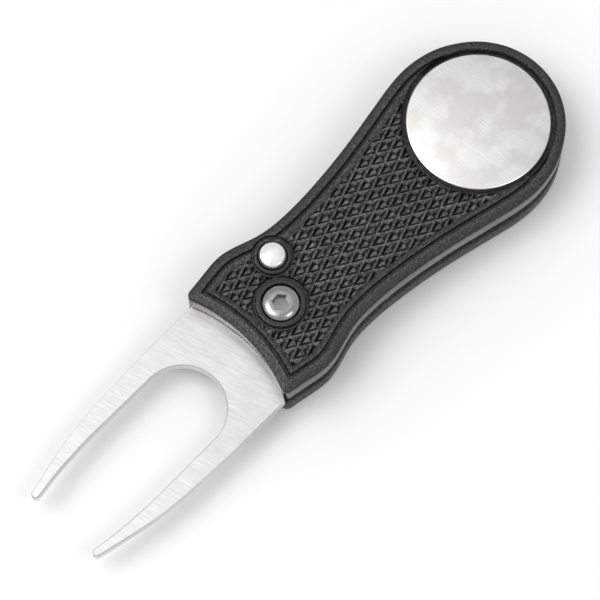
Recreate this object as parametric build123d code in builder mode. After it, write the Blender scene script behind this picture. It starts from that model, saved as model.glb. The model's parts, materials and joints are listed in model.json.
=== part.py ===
"""Folding divot repair tool with a push-button lock and a magnetic ball marker.

Frame: millimetres, +Z up out of the grip face, +X from the pivot towards the ball marker,
origin on the pivot axis at the level of the back face. The fork is shown open, along -X.
"""

from build123d import *
import os
from math import atan2, cos, degrees, hypot, radians, sin

os.makedirs("parts", exist_ok=True)

# Levels, from the back face up
BOTTOM_TOP = 4.0  # top of the back half, floor of the slot
FRAME_BASE = 6.8  # underside of the metal frame, roof of the slot
FRAME_TOP = 9.4  # seam between the metal frame and the grip cover
COVER_TOP = 11.0  # rim of the grip cover

# Handle outline: half-widths along the side, then the round head
SIDE = [
    (-10.9, 12.1), (-6.0, 12.85), (-1.6, 13.3), (2.0, 12.55), (5.5, 11.5), (11.2, 10.95),
    (20.0, 11.55), (29.0, 12.95), (38.6, 14.95), (45.0, 15.8), (51.2, 14.8),
]
MOUTH_RADIUS = 30.5  # hollow of the front edge
FRAME_SETBACK = 0.75  # the frame's front edge is set back this far at one corner
CORNER_RADIUS = 1.0
FRAME_EDGE = 0.15
BACK_EDGE = 0.9
SLOT_EDGE = 0.3
COVER_EDGE = 0.5
BEYOND = 30  # farther from the long axis than any part of the handle
HEAD_X = 47.2  # centre of the head and of the ball marker
HEAD_RADIUS = 15.05
HEAD_ANGLE = 55  # the round end runs this far each side of the long axis

# Border of the grip face and of the back face, measured in from the outline
GROOVE_INSET = 1.85
GROOVE_WIDTH = 0.4
GROOVE_DEPTH = 0.35
FIELD_INSET = 3.5
FIELD_DEPTH = 0.6
BACK_FIELD_DEPTH = 0.4

# Ball marker, its recess and its magnet
MARKER_RADIUS = 12.5
MARKER_THICKNESS = 1.5
MARKER_EDGE = 0.2
MARKER_GAP = 0.03
RECESS_RADIUS = 13.35
RECESS_FLOOR = 9.4
FLOOR_THICKNESS = 0.8
FLOOR_RADIUS = 14.1
CUP_RADIUS = 6.0
CUP_BASE = 7.25
CUP_TOP = 9.35
CUP_WALL = 0.6
CUP_FLOOR = 0.4
MAGNET_TOP = 9.3
MAGNET_CHAMFER = 0.2
FIT_GAP = 0.05

# Pivot
SCREW_HEAD_RADIUS = 3.3
SCREW_RECESS_RADIUS = 3.43
SCREW_BOSS_RADIUS = 4.2
SCREW_HEAD_HEIGHT = 1.9
SCREW_DOME = [(1.6, 1.9), (2.75, 1.35), (3.3, 0.45)]  # radius and height over the head's seat
SCREW_END_CHAMFER = 0.3
SCREW_SHANK_RADIUS = 1.5
SCREW_SHANK_END = 2.6
SOCKET_FLATS = 2.5
SOCKET_DEPTH = 1.2
BARREL_RADIUS = 2.5
BARREL_TOP = 9.0
BARREL_FLANGE_RADIUS = 3.5
BARREL_FLANGE = 1.3
BARREL_FLANGE_CHAMFER = 0.25
BARREL_BORE_BASE = 2.1
WASHER_RADIUS = 5.75
WASHER_THICKNESS = 0.35

# Opening spring, wound round the barrel in a pocket of the frame
SPRING_POCKET_RADIUS = 4.25
SPRING_POCKET_TOP = 8.4
SPRING_RADIUS = 3.4
SPRING_WIRE = 0.3
SPRING_BASE = 6.95
SPRING_PITCH = 0.7
SPRING_HEIGHT = 1.05
SPRING_LEG_BASE = 5.2
SPRING_LEG_TOP = 8.9
SPRING_LEG_HOLE = 0.5

# Lock button and its plunger
BUTTON_X, BUTTON_Y = 4.8, 7.0
BUTTON_RADIUS = 2.45
BUTTON_BORE_RADIUS = 2.6
BUTTON_BOSS_RADIUS = 3.3
BUTTON_BASE = 9.95
BUTTON_TOP = 11.8
BUTTON_EDGE = 0.35
BUTTON_POCKET_FLOOR = 7.5
NECK_RADIUS = 1.2
NECK_BORE_RADIUS = 1.27
NECK_TOP = 10.9
SHOULDER_RADIUS = 2.5
SHOULDER_TOP = 4.05
SHOULDER_BASE = 2.85
SHOULDER_CHAMFER = 0.2
SHOULDER_POCKET_RADIUS = 2.65
SHOULDER_POCKET_FLOOR = 1.5
BUTTON_SPRING_RADIUS = 1.75
BUTTON_SPRING_WIRE = 0.2
BUTTON_SPRING_TURNS = 3

# Fork, drawn open along -X; its stop lets it lean a little away from the button
FORK_BASE = 4.4
FORK_LEAN = 2.0
FORK_THICKNESS = 2.0
FORK_EDGE = 0.2
FORK_HALF_WIDTH = 11.65
FORK_SHOULDER_X = -0.9
HUB_RADIUS = 7.2
FORK_BORE_RADIUS = 2.55
LOCK_NOTCH_RADIUS = 2.6
RELIEF_LENGTH = 8.0
GAP_RADIUS = 7.6
GAP_CENTRE_X = -24.0
TINE_OUTER = [
    (-20.0, 11.6), (-30.0, 11.2), (-36.0, 10.85), (-41.7, 10.15), (-46.0, 9.25), (-51.75, 7.94),
]
TINE_INNER = [(-38.0, 7.67), (-42.0, 7.5), (-46.4, 7.2), (-51.48, 6.49)]
TINE_TIP_RADIUS = 0.74  # about; the tip's arc meets both edges smoothly

# Pins and screws
STOP_PIN = (-0.2, 10.4)
STOP_PIN_RADIUS = 1.0
STOP_PIN_BASE, STOP_PIN_TOP = 1.6, 8.4
SPACER_INSET = 0.5
SPACER_START_X = 31.0
SWEEP_GAP = 0.45
SHELL_SCREWS = [(40.0, 12.9), (53.6, 11.2), (56.8, -7.9)]
SHELL_SCREW_RADIUS = 1.0
SHELL_SCREW_HEAD_RADIUS = 1.8
SHELL_SCREW_HEAD_EDGE = 0.35
SHELL_SCREW_PAD_RADIUS = 2.7
SHELL_SCREW_HEAD_BASE, SHELL_SCREW_HEAD_TOP = 0.45, 1.6
SHELL_SCREW_TOP = 8.2
CROSS_LENGTH, CROSS_WIDTH, CROSS_DEPTH = 2.0, 0.45, 0.7
RECESS_SCREW_OFFSET = 9.4
RECESS_SCREW_RADIUS = 0.8
RECESS_SCREW_HEAD_RADIUS = 1.5
RECESS_SCREW_BASE = 7.2


def save(part, name):
    """Labels a finished piece and writes it as its own STEP file."""
    part.label = name
    export_step(part, f"parts/{name}.step")


def disc(level, height, radius, place=(0, 0), mode=Mode.SUBTRACT):
    """A round hole or post in the active part, from one level upwards."""
    with BuildSketch(Plane.XY.offset(level)) as section:
        with Locations(place):
            Circle(radius)
    extrude(section.sketch, amount=height, mode=mode)


def rim(part, level):
    """The edges of the outermost loop of a flat face at one level."""
    face = part.faces().filter_by(Plane.XY).filter_by_position(Axis.Z, level - 0.01, level + 0.01)
    return face.sort_by(SortBy.AREA)[-1].outer_wire().edges()


# The plan of the handle
head_end = (
    HEAD_X + HEAD_RADIUS * cos(radians(HEAD_ANGLE)),
    HEAD_RADIUS * sin(radians(HEAD_ANGLE)),
)
head_tangent = (sin(radians(HEAD_ANGLE)), -cos(radians(HEAD_ANGLE)))
with BuildSketch() as handle_plan:
    with BuildLine():
        upper = Spline(*SIDE, head_end, tangents=[(1, 0.16), head_tangent])
        mirror(upper, about=Plane.XZ)
        ThreePointArc(upper @ 1, (HEAD_X + HEAD_RADIUS, 0), (head_end[0], -head_end[1]))
        RadiusArc(upper @ 0, (SIDE[0][0], -SIDE[0][1]), MOUTH_RADIUS)
    make_face()
    corners = handle_plan.vertices().sort_by(Axis.X)[:2]
    fillet(corners, CORNER_RADIUS)


def inset_plan(distance):
    """The handle's plan drawn in by a distance, with its edges as plain splines."""
    with BuildSketch() as inset:
        add(handle_plan.sketch)
        offset(amount=-distance, kind=Kind.INTERSECTION)
    return inset.sketch.face().to_splines()


groove_outer = inset_plan(GROOVE_INSET)
groove_inner = inset_plan(GROOVE_INSET + GROOVE_WIDTH)
field_plan = inset_plan(FIELD_INSET)

with BuildSketch() as groove_plan:
    add(groove_outer)
    add(groove_inner, mode=Mode.SUBTRACT)
    with Locations((BUTTON_X, BUTTON_Y)):
        Circle(BUTTON_BOSS_RADIUS, mode=Mode.SUBTRACT)
with BuildSketch() as grip_plan:
    add(field_plan)
    with Locations((BUTTON_X, BUTTON_Y)):
        Circle(BUTTON_BOSS_RADIUS, mode=Mode.SUBTRACT)
    Circle(SCREW_BOSS_RADIUS, mode=Mode.SUBTRACT)


# Grip cover: black plastic plate with the border groove, the sunk grip field, bosses and recess
with BuildPart() as top_shell:
    with BuildSketch(Plane.XY.offset(FRAME_TOP)):
        add(handle_plan.sketch)
    extrude(amount=COVER_TOP - FRAME_TOP)
    fillet(rim(top_shell, COVER_TOP), COVER_EDGE)
    with BuildSketch(Plane.XY.offset(COVER_TOP)):
        add(groove_plan.sketch)
    extrude(amount=-GROOVE_DEPTH, mode=Mode.SUBTRACT)
    with BuildSketch(Plane.XY.offset(COVER_TOP)):
        add(grip_plan.sketch)
    extrude(amount=-FIELD_DEPTH, mode=Mode.SUBTRACT)
    disc(RECESS_FLOOR - FLOOR_THICKNESS, FLOOR_THICKNESS, FLOOR_RADIUS, (HEAD_X, 0), Mode.ADD)
    disc(RECESS_FLOOR, COVER_TOP - RECESS_FLOOR, RECESS_RADIUS, (HEAD_X, 0))
    disc(RECESS_FLOOR - FLOOR_THICKNESS, FLOOR_THICKNESS, CUP_RADIUS + FIT_GAP, (HEAD_X, 0))
    disc(FRAME_TOP, COVER_TOP - FRAME_TOP, SCREW_RECESS_RADIUS)
    disc(FRAME_TOP, COVER_TOP - FRAME_TOP, BUTTON_BORE_RADIUS, (BUTTON_X, BUTTON_Y))
    with Locations(
        (HEAD_X - RECESS_SCREW_OFFSET, 0, RECESS_FLOOR),
        (HEAD_X + RECESS_SCREW_OFFSET, 0, RECESS_FLOOR),
    ):
        CounterSinkHole(RECESS_SCREW_RADIUS, RECESS_SCREW_HEAD_RADIUS, FLOOR_THICKNESS, 90)
save(top_shell.part, "top_shell")


# Frame: the metal plate that carries the pivot, the button and the marker's magnet
with BuildPart() as mid_frame:
    with BuildSketch(Plane.XY.offset(FRAME_BASE)):
        add(handle_plan.sketch)
    extrude(amount=FRAME_TOP - FRAME_BASE)
    with BuildSketch(Plane.XY.offset(FRAME_BASE)):
        with BuildLine():
            front_x, front_y = SIDE[0]
            corner = (front_x + FRAME_SETBACK, -front_y)
            RadiusArc((front_x, front_y), corner, MOUTH_RADIUS)
            Polyline(
                corner, (corner[0], -BEYOND), (-BEYOND, -BEYOND), (-BEYOND, front_y),
                (front_x, front_y),
            )
        make_face()
    extrude(amount=FRAME_TOP - FRAME_BASE, mode=Mode.SUBTRACT)
    fillet(rim(mid_frame, FRAME_BASE) + rim(mid_frame, FRAME_TOP), FRAME_EDGE)
    floor_base = RECESS_FLOOR - FLOOR_THICKNESS
    disc(floor_base, FRAME_TOP - floor_base, FLOOR_RADIUS, (HEAD_X, 0))
    disc(CUP_BASE, floor_base - CUP_BASE, CUP_RADIUS, (HEAD_X, 0))
    disc(FRAME_BASE, SPRING_POCKET_TOP - FRAME_BASE, SPRING_POCKET_RADIUS)
    disc(SPRING_POCKET_TOP, BARREL_TOP - SPRING_POCKET_TOP, BARREL_RADIUS)
    disc(BARREL_TOP, FRAME_TOP - BARREL_TOP, SCREW_SHANK_RADIUS)
    disc(
        SPRING_POCKET_TOP, SPRING_LEG_TOP - SPRING_POCKET_TOP + FIT_GAP, SPRING_LEG_HOLE,
        (-SPRING_RADIUS, 0),
    )
    disc(
        BUTTON_POCKET_FLOOR, FRAME_TOP - BUTTON_POCKET_FLOOR, BUTTON_BORE_RADIUS,
        (BUTTON_X, BUTTON_Y),
    )
    disc(FRAME_BASE, BUTTON_POCKET_FLOOR - FRAME_BASE, NECK_BORE_RADIUS, (BUTTON_X, BUTTON_Y))
    disc(FRAME_BASE, STOP_PIN_TOP - FRAME_BASE, STOP_PIN_RADIUS, STOP_PIN)
    for place in SHELL_SCREWS:
        disc(FRAME_BASE, SHELL_SCREW_TOP - FRAME_BASE, SHELL_SCREW_RADIUS, place)
    for side in (-1, 1):
        place = (HEAD_X + side * RECESS_SCREW_OFFSET, 0)
        disc(RECESS_SCREW_BASE, floor_base - RECESS_SCREW_BASE, RECESS_SCREW_RADIUS, place)
save(mid_frame.part, "mid_frame")


# Back half: black plastic, with the same border and a shallow field on its back face
with BuildPart() as bottom_shell:
    with BuildSketch():
        add(handle_plan.sketch)
    extrude(amount=BOTTOM_TOP)
    fillet(rim(bottom_shell, 0), BACK_EDGE)
    fillet(rim(bottom_shell, BOTTOM_TOP), SLOT_EDGE)
    with BuildSketch():
        add(field_plan)
        Circle(SCREW_BOSS_RADIUS, mode=Mode.SUBTRACT)
        with Locations(*SHELL_SCREWS):
            Circle(SHELL_SCREW_PAD_RADIUS, mode=Mode.SUBTRACT)
    extrude(amount=BACK_FIELD_DEPTH, mode=Mode.SUBTRACT)
    disc(0, BARREL_FLANGE, BARREL_FLANGE_RADIUS)
    disc(BARREL_FLANGE, BOTTOM_TOP - BARREL_FLANGE, BARREL_RADIUS)
    disc(
        SHOULDER_POCKET_FLOOR, BOTTOM_TOP - SHOULDER_POCKET_FLOOR, SHOULDER_POCKET_RADIUS,
        (BUTTON_X, BUTTON_Y),
    )
    disc(STOP_PIN_BASE, BOTTOM_TOP - STOP_PIN_BASE, STOP_PIN_RADIUS, STOP_PIN)
    for place in SHELL_SCREWS:
        disc(0, SHELL_SCREW_HEAD_TOP, SHELL_SCREW_HEAD_RADIUS + FIT_GAP, place)
        disc(
            SHELL_SCREW_HEAD_TOP, BOTTOM_TOP - SHELL_SCREW_HEAD_TOP, SHELL_SCREW_RADIUS, place
        )
save(bottom_shell.part, "bottom_shell")


# Spacer: fills the slot outside the fork's sweep, round the head and along the button side
folded_edge = [(-x, y + SWEEP_GAP) for x, y in TINE_OUTER]
reach = hypot(*TINE_OUTER[-1]) + TINE_TIP_RADIUS + SWEEP_GAP
arc_start, arc_middle, arc_end = (
    (reach * cos(radians(turn)), reach * sin(radians(turn))) for turn in (5, -10, -25)
)
with BuildPart() as head_spacer:
    with BuildSketch(Plane.XY.offset(BOTTOM_TOP)):
        add(inset_plan(SPACER_INSET))
        with BuildLine():
            edge = Spline(*folded_edge, arc_start)
            ThreePointArc(arc_start, arc_middle, arc_end)
            Polyline(
                arc_end, (arc_end[0], -BEYOND), (-BEYOND, -BEYOND), (-BEYOND, BEYOND),
                (SPACER_START_X, BEYOND), (SPACER_START_X, folded_edge[0][1]), edge @ 0,
            )
        make_face(mode=Mode.SUBTRACT)
    extrude(amount=FRAME_BASE - BOTTOM_TOP)
    for place in SHELL_SCREWS:
        disc(BOTTOM_TOP, FRAME_BASE - BOTTOM_TOP, SHELL_SCREW_RADIUS, place)
save(head_spacer.part, "head_spacer")


# Fork: one flat steel blade with a hub that turns on the barrel
lock_angle = degrees(atan2(BUTTON_Y, BUTTON_X))
closed_x, closed_y = -BUTTON_X, -BUTTON_Y  # where the plunger stands when the fork is folded
out_x, out_y = -cos(radians(lock_angle)), -sin(radians(lock_angle))
relief_start = (closed_x + LOCK_NOTCH_RADIUS * out_y, closed_y - LOCK_NOTCH_RADIUS * out_x)
relief_end = (relief_start[0] + RELIEF_LENGTH * out_x, relief_start[1] + RELIEF_LENGTH * out_y)
turned_back = Rotation(0, 0, -FORK_LEAN)
with BuildPart() as fork:
    with BuildSketch(Plane.XY.offset(FORK_BASE).rotated((0, 0, FORK_LEAN))):
        with BuildLine():
            Line((FORK_SHOULDER_X, FORK_HALF_WIDTH), TINE_OUTER[0])
            edge = Spline(*TINE_OUTER, tangents=[(-1, -0.02), (-1, -0.23)])
            inner = Spline(*TINE_INNER[::-1], tangents=[(1, 0.14), (1, 0)])
            TangentArc(edge @ 1, inner @ 0, tangent=edge % 1)
            Line(inner @ 1, (GAP_CENTRE_X, GAP_RADIUS))
            mirror(about=Plane.XZ)
            RadiusArc((GAP_CENTRE_X, GAP_RADIUS), (GAP_CENTRE_X, -GAP_RADIUS), GAP_RADIUS)
            Line((FORK_SHOULDER_X, FORK_HALF_WIDTH), (FORK_SHOULDER_X, -FORK_HALF_WIDTH))
        make_face()
        with BuildLine():
            Polyline(
                relief_start, relief_end, (HUB_RADIUS, relief_end[1]), (HUB_RADIUS, closed_y),
                (closed_x, closed_y), relief_start,
            )
        make_face(mode=Mode.SUBTRACT)
        Circle(HUB_RADIUS)
        with Locations((closed_x, closed_y)):
            Circle(LOCK_NOTCH_RADIUS, mode=Mode.SUBTRACT)
        Circle(FORK_BORE_RADIUS, mode=Mode.SUBTRACT)
        with Locations(turned_back):
            with Locations((BUTTON_X, BUTTON_Y)):
                Circle(LOCK_NOTCH_RADIUS, mode=Mode.SUBTRACT)
            with Locations((SPRING_RADIUS, 0)):
                Circle(SPRING_LEG_HOLE, mode=Mode.SUBTRACT)
    extrude(amount=FORK_THICKNESS)
    chamfer(rim(fork, FORK_BASE) + rim(fork, FORK_BASE + FORK_THICKNESS), FORK_EDGE)
save(fork.part, "fork")


# Pivot: a button-head screw from the front, a threaded barrel from the back, two slide rings
with BuildPart() as pivot_screw:
    with BuildSketch(Plane.XZ):
        with BuildLine():
            dome = [(radius, FRAME_TOP + height) for radius, height in SCREW_DOME]
            ThreePointArc(*dome)
            Polyline(
                dome[2], (SCREW_HEAD_RADIUS, FRAME_TOP), (0, FRAME_TOP),
                (0, FRAME_TOP + SCREW_HEAD_HEIGHT), dome[0],
            )
        make_face()
    revolve(axis=Axis.Z)
    disc(SCREW_SHANK_END, FRAME_TOP - SCREW_SHANK_END, SCREW_SHANK_RADIUS, mode=Mode.ADD)
    chamfer(pivot_screw.edges().sort_by(Axis.Z)[0], SCREW_END_CHAMFER)
    with BuildSketch(Plane.XY.offset(FRAME_TOP + SCREW_HEAD_HEIGHT)):
        RegularPolygon(SOCKET_FLATS / 2, 6, major_radius=False)
    extrude(amount=-SOCKET_DEPTH, mode=Mode.SUBTRACT)
save(pivot_screw.part, "pivot_screw")

with BuildPart() as pivot_barrel:
    disc(0, BARREL_FLANGE, BARREL_FLANGE_RADIUS, mode=Mode.ADD)
    disc(BARREL_FLANGE, BARREL_TOP - BARREL_FLANGE, BARREL_RADIUS, mode=Mode.ADD)
    chamfer(pivot_barrel.edges().sort_by(Axis.Z)[0], BARREL_FLANGE_CHAMFER)
    disc(BARREL_BORE_BASE, BARREL_TOP - BARREL_BORE_BASE, SCREW_SHANK_RADIUS)
save(pivot_barrel.part, "pivot_barrel")

with BuildPart() as pivot_washer_lower:
    disc(BOTTOM_TOP, WASHER_THICKNESS, WASHER_RADIUS, mode=Mode.ADD)
    disc(BOTTOM_TOP, WASHER_THICKNESS, FORK_BORE_RADIUS)
save(pivot_washer_lower.part, "pivot_washer_lower")

with BuildPart() as pivot_washer_upper:
    disc(FRAME_BASE - WASHER_THICKNESS, WASHER_THICKNESS, WASHER_RADIUS, mode=Mode.ADD)
    disc(FRAME_BASE - WASHER_THICKNESS, WASHER_THICKNESS, SPRING_POCKET_RADIUS)
save(pivot_washer_upper.part, "pivot_washer_upper")

# Opening spring: a short coil with one leg down into the fork and one up into the frame
with BuildPart() as opening_spring:
    with BuildLine():
        coil = Helix(
            SPRING_PITCH, SPRING_HEIGHT, SPRING_RADIUS, center=(0, 0, SPRING_BASE),
            direction=(0, 0, 1),
        )
    with BuildSketch(Plane(coil @ 0, z_dir=coil % 0)):
        Circle(SPRING_WIRE)
    sweep(is_frenet=True)
    leg_in, leg_out = coil @ 0, coil @ 1  # at opposite sides of the barrel
    disc(
        SPRING_LEG_BASE, SPRING_BASE - SPRING_LEG_BASE, SPRING_WIRE, (leg_in.X, leg_in.Y),
        Mode.ADD,
    )
    disc(leg_out.Z, SPRING_LEG_TOP - leg_out.Z, SPRING_WIRE, (leg_out.X, leg_out.Y), Mode.ADD)
save(opening_spring.part, "opening_spring")


# Lock button: the bright cap, the plunger pressed into it, and the return spring
button_place = (BUTTON_X, BUTTON_Y)
with BuildPart() as lock_button:
    disc(BUTTON_BASE, BUTTON_TOP - BUTTON_BASE, BUTTON_RADIUS, button_place, Mode.ADD)
    fillet(lock_button.edges().sort_by(Axis.Z)[-1], BUTTON_EDGE)
    disc(BUTTON_BASE, NECK_TOP - BUTTON_BASE, NECK_RADIUS, button_place)
save(lock_button.part, "lock_button")

with BuildPart() as lock_plunger:
    disc(SHOULDER_BASE, SHOULDER_TOP - SHOULDER_BASE, SHOULDER_RADIUS, button_place, Mode.ADD)
    disc(SHOULDER_TOP, NECK_TOP - SHOULDER_TOP, NECK_RADIUS, button_place, Mode.ADD)
    chamfer(lock_plunger.edges().sort_by(Axis.Z)[0], SHOULDER_CHAMFER)
save(lock_plunger.part, "lock_plunger")

spring_height = BUTTON_BASE - BUTTON_POCKET_FLOOR - 2 * BUTTON_SPRING_WIRE
with BuildPart() as button_spring:
    with BuildLine():
        coil = Helix(
            spring_height / BUTTON_SPRING_TURNS, spring_height, BUTTON_SPRING_RADIUS,
            center=(BUTTON_X, BUTTON_Y, BUTTON_POCKET_FLOOR + BUTTON_SPRING_WIRE),
        )
    with BuildSketch(Plane(coil @ 0, z_dir=coil % 0)):
        Circle(BUTTON_SPRING_WIRE)
    sweep(is_frenet=True)
save(button_spring.part, "button_spring")


# Ball marker, and the magnet in its steel cup under it
marker_base = RECESS_FLOOR + MARKER_GAP
with BuildPart() as ball_marker:
    disc(marker_base, MARKER_THICKNESS, MARKER_RADIUS, (HEAD_X, 0), Mode.ADD)
    fillet(ball_marker.edges().filter_by(GeomType.CIRCLE), MARKER_EDGE)
save(ball_marker.part, "ball_marker")

with BuildPart() as magnet_cup:
    disc(CUP_BASE, CUP_TOP - CUP_BASE, CUP_RADIUS, (HEAD_X, 0), Mode.ADD)
    disc(CUP_BASE + CUP_FLOOR, CUP_TOP - CUP_BASE, CUP_RADIUS - CUP_WALL, (HEAD_X, 0))
save(magnet_cup.part, "magnet_cup")

with BuildPart() as marker_magnet:
    magnet_height = MAGNET_TOP - CUP_BASE - CUP_FLOOR
    magnet_radius = CUP_RADIUS - CUP_WALL - FIT_GAP
    disc(CUP_BASE + CUP_FLOOR, magnet_height, magnet_radius, (HEAD_X, 0), Mode.ADD)
    chamfer(marker_magnet.edges().sort_by(Axis.Z)[-1], MAGNET_CHAMFER)
save(marker_magnet.part, "marker_magnet")


# Stop pin: the open fork's shoulder rests against it
with BuildPart() as stop_pin:
    disc(STOP_PIN_BASE, STOP_PIN_TOP - STOP_PIN_BASE, STOP_PIN_RADIUS, STOP_PIN, Mode.ADD)
save(stop_pin.part, "stop_pin")


# Screws from the back, through the spacer into the frame
for number, place in enumerate(SHELL_SCREWS, start=1):
    with BuildPart() as shell_screw:
        head_height = SHELL_SCREW_HEAD_TOP - SHELL_SCREW_HEAD_BASE
        shank_height = SHELL_SCREW_TOP - SHELL_SCREW_HEAD_TOP
        disc(SHELL_SCREW_HEAD_BASE, head_height, SHELL_SCREW_HEAD_RADIUS, place, Mode.ADD)
        fillet(shell_screw.edges().sort_by(Axis.Z)[0], SHELL_SCREW_HEAD_EDGE)
        disc(SHELL_SCREW_HEAD_TOP, shank_height, SHELL_SCREW_RADIUS, place, Mode.ADD)
        with BuildSketch(Plane.XY.offset(SHELL_SCREW_HEAD_BASE)) as cross:
            with Locations(place):
                Rectangle(CROSS_LENGTH, CROSS_WIDTH)
                Rectangle(CROSS_WIDTH, CROSS_LENGTH)
        extrude(cross.sketch, amount=CROSS_DEPTH, mode=Mode.SUBTRACT)
    save(shell_screw.part, f"shell_screw_{number}")


# Countersunk screws in the floor of the marker's recess
for number, side in enumerate((-1, 1), start=1):
    place = (HEAD_X + side * RECESS_SCREW_OFFSET, 0)
    cone_depth = RECESS_SCREW_HEAD_RADIUS - RECESS_SCREW_RADIUS
    with BuildPart() as recess_screw:
        disc(
            RECESS_SCREW_BASE, RECESS_FLOOR - RECESS_SCREW_BASE, RECESS_SCREW_RADIUS, place,
            Mode.ADD,
        )
        with Locations((*place, RECESS_FLOOR - cone_depth / 2)):
            Cone(RECESS_SCREW_RADIUS, RECESS_SCREW_HEAD_RADIUS, cone_depth)
    save(recess_screw.part, f"recess_screw_{number}")
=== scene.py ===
"""Looks of the folding divot repair tool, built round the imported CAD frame.

The two covers, the pivot screw, the button and the marker are modelled here. The other parts keep
their CAD shape. Measures below are in millimetres and become metres in mesh_piece().
"""

import json
from math import cos, pi, radians, sin

import bmesh
import bpy
import numpy as np
from mathutils import Matrix, Vector
from mathutils.geometry import delaunay_2d_cdt


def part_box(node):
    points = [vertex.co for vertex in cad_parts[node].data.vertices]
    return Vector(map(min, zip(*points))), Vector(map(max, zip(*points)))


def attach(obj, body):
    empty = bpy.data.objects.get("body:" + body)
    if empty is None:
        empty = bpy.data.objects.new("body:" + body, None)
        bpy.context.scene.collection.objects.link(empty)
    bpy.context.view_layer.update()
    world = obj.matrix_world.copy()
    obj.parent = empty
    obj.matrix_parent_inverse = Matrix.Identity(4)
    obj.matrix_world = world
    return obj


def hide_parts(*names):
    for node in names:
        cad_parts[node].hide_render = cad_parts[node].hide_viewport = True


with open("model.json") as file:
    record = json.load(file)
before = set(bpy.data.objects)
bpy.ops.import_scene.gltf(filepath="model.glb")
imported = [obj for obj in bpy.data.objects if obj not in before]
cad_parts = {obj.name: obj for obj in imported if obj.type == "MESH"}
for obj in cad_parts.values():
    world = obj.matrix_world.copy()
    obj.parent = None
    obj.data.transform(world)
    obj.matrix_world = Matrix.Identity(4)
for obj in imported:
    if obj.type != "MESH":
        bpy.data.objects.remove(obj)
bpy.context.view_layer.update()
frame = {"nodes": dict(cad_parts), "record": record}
nodes = frame["nodes"]
MM = 0.001


def box_mm(node):
    """The lowest and highest corner of a CAD node, in millimetres."""
    low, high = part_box(node)
    return np.array(low) / MM, np.array(high) / MM


def centre_mm(node):
    """The middle of a CAD node in plan, in millimetres."""
    low, high = box_mm(node)
    return (low + high)[:2] / 2


# ------------------------------------------------------------------ measures taken from the frame
SEAM_LEVEL = box_mm("mid_frame")[1][2]
SLOT_FLOOR = box_mm("bottom_shell")[1][2]
COVER_LEVEL = box_mm("top_shell")[1][2]
FLOOR_BASE = box_mm("top_shell")[0][2]
SCREW_TOP = box_mm("pivot_screw")[1][2]
SCREW_END = box_mm("pivot_screw")[0][2]
BUTTON_BASE, BUTTON_TOP = (corner[2] for corner in box_mm("lock_button"))
MARKER_BASE, MARKER_TOP = (corner[2] for corner in box_mm("ball_marker"))
HEAD = centre_mm("ball_marker")
BUTTON = centre_mm("lock_button")
PIVOT = centre_mm("pivot_barrel")
SHELL_SCREWS = [centre_mm(f"shell_screw_{i}") for i in (1, 2, 3)]
STOP_PIN = centre_mm("stop_pin")
RECESS_SCREWS = [centre_mm(f"recess_screw_{i}") for i in (1, 2)]

# ------------------------------------------------------------------ plan measures
STEP = 0.25  # spacing of points along outlines
CURVE_POINTS = 16  # points worked out between two corners of an outline
TOUCH = 0.02  # points nearer than this to each other, or to a line, count as touching
ROUND_POINTS, FINE_POINTS, MARKER_POINTS = 96, 128, 192  # points round a hole, a head, the marker
SMALL_POINTS, PAD_POINTS = 32, 48  # points round a recess screw's hole and a screw's flat pad
SLOT_EDGE = 0.3  # the back half's straight wall ends this far under the slot's floor
RECESS_RADIUS = 13.35
FLOOR_RADIUS = 14.1
CUP_HOLE_RADIUS = 6.05
SCREW_HOLE_RADIUS = 3.43
BUTTON_HOLE_RADIUS = 2.6
FLANGE_HOLE_RADIUS, FLANGE_DEPTH = 3.52, 1.3
BARREL_RADIUS = 2.5
PLUNGER_HOLE_RADIUS, PLUNGER_HOLE_FLOOR = 2.65, 1.5
STOP_PIN_RADIUS, STOP_PIN_FLOOR = 1.0, 1.6
BACK_SCREW_HOLE_RADIUS, BACK_SCREW_SEAT, BACK_SCREW_RADIUS = 1.87, 1.6, 1.0
BACK_SCREW_PAD, PAD_LEVEL = 2.45, -0.05
RECESS_SCREW_HEAD_RADIUS, RECESS_SCREW_RADIUS, RECESS_SCREW_SINK = 1.5, 0.8, 0.7
SEAM_EDGE_IN, SEAM_EDGE_UP = 0.1, 0.12  # the grip cover's bevel along the seam
BOSS_MARGIN = 0.1  # a boss's rings stop this far inside the outline
HEX_TURN = radians(10)
BRUSH_TURN = -75  # degrees from the long axis to the fork's grinding lines

# Border of a cover: (distance in from the outline, height against the face level)
GROOVE = [
    (1.58, 0.0), (1.68, -0.06), (1.85, -0.8), (2.28, -0.8), (2.42, -0.1), (2.52, -0.03),
    (3.34, -0.34),
]
GRIP_BORDER = [(0.0, -0.64), (0.05, -0.72), (0.15, -0.3), (0.32, -0.2), (0.6, -0.14), *GROOVE]
BACK_BORDER = [(0.0, -0.9), (0.07, -0.56), (0.26, -0.26), (0.56, -0.07), (0.9, 0.0), *GROOVE]
FIELD_EDGE = 3.5
# Edge of the back half against the slot: (distance in from the outline, height against the floor)
SLOT_ROUND = [(0.0, -0.35), (0.09, -0.1), (0.3, 0.0)]

# Bosses: (distance from the middle, height), outwards; the last height meets what is round it
SCREW_BOSS = [
    (SCREW_HOLE_RADIUS, -0.16), (3.53, -0.04), (3.8, 0.0), (4.12, -0.05), (4.28, -0.16),
    (4.4, -0.85), (4.78, -0.85), (4.92, None),
]
BUTTON_BOSS = [
    (BUTTON_HOLE_RADIUS, -0.16), (2.7, -0.04), (2.88, 0.0), (3.1, -0.05), (3.22, -0.15),
    (3.32, -0.75), (3.6, -0.75), (3.72, None),
]
FLANGE_BOSS = [
    (FLANGE_HOLE_RADIUS, -0.06), (3.6, 0.0), (4.1, 0.0), (4.24, -0.12), (4.34, -0.7), (4.74, -0.7),
    (4.84, None),
]
RECESS_LIP = [(RECESS_RADIUS, -0.3), (13.5, None)]

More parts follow.
